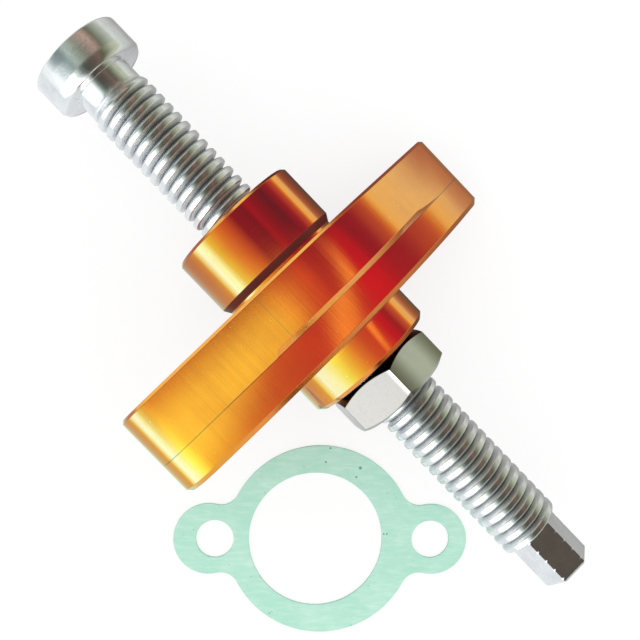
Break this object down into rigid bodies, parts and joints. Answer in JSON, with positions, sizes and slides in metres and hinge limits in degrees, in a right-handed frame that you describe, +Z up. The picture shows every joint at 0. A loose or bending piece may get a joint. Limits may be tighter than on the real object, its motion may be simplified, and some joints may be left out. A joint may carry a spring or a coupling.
{
  "type": "manual timing chain tensioner with gasket",
  "caption": "Screw-adjusted timing chain tensioner: a flanged anodised body, a long threaded screw with a round pusher head, a thin jam nut and a loose paper gasket.",
  "frame": {"origin": "on the screw axis, in the plane of the flange's mounting face", "axes": "+X runs along the screw from the pusher head to the adjusting end, +Z is up, and the flange is rolled about X until the straight side below its low ear is level with the surface that the gasket lies on"},
  "size_m": [0.0825, 0.0593, 0.0272],
  "materials": {
    "anodised_body": "bright orange anodised, turned and milled",
    "plated_screw": "bright zinc plated",
    "plated_nut": "bright zinc plated",
    "gasket_paper": "pale green fibre gasket paper"
  },
  "bodies": {
    "housing": {"tensioner_body": "anodised_body", "gasket": "gasket_paper"},
    "screw": {"adjuster_screw": "plated_screw"},
    "nut": {"jam_nut": "plated_nut"}
  },
  "joints": [
    {"name": "screw_feed", "type": "slide", "parent": "housing", "child": "screw", "axis": [1, 0, 0], "range_m": [-0.019, 0.0211]},
    {"name": "nut_back_off", "type": "slide", "parent": "housing", "child": "nut", "axis": [1, 0, 0], "range_m": [0, 0.00282]}
  ]
}
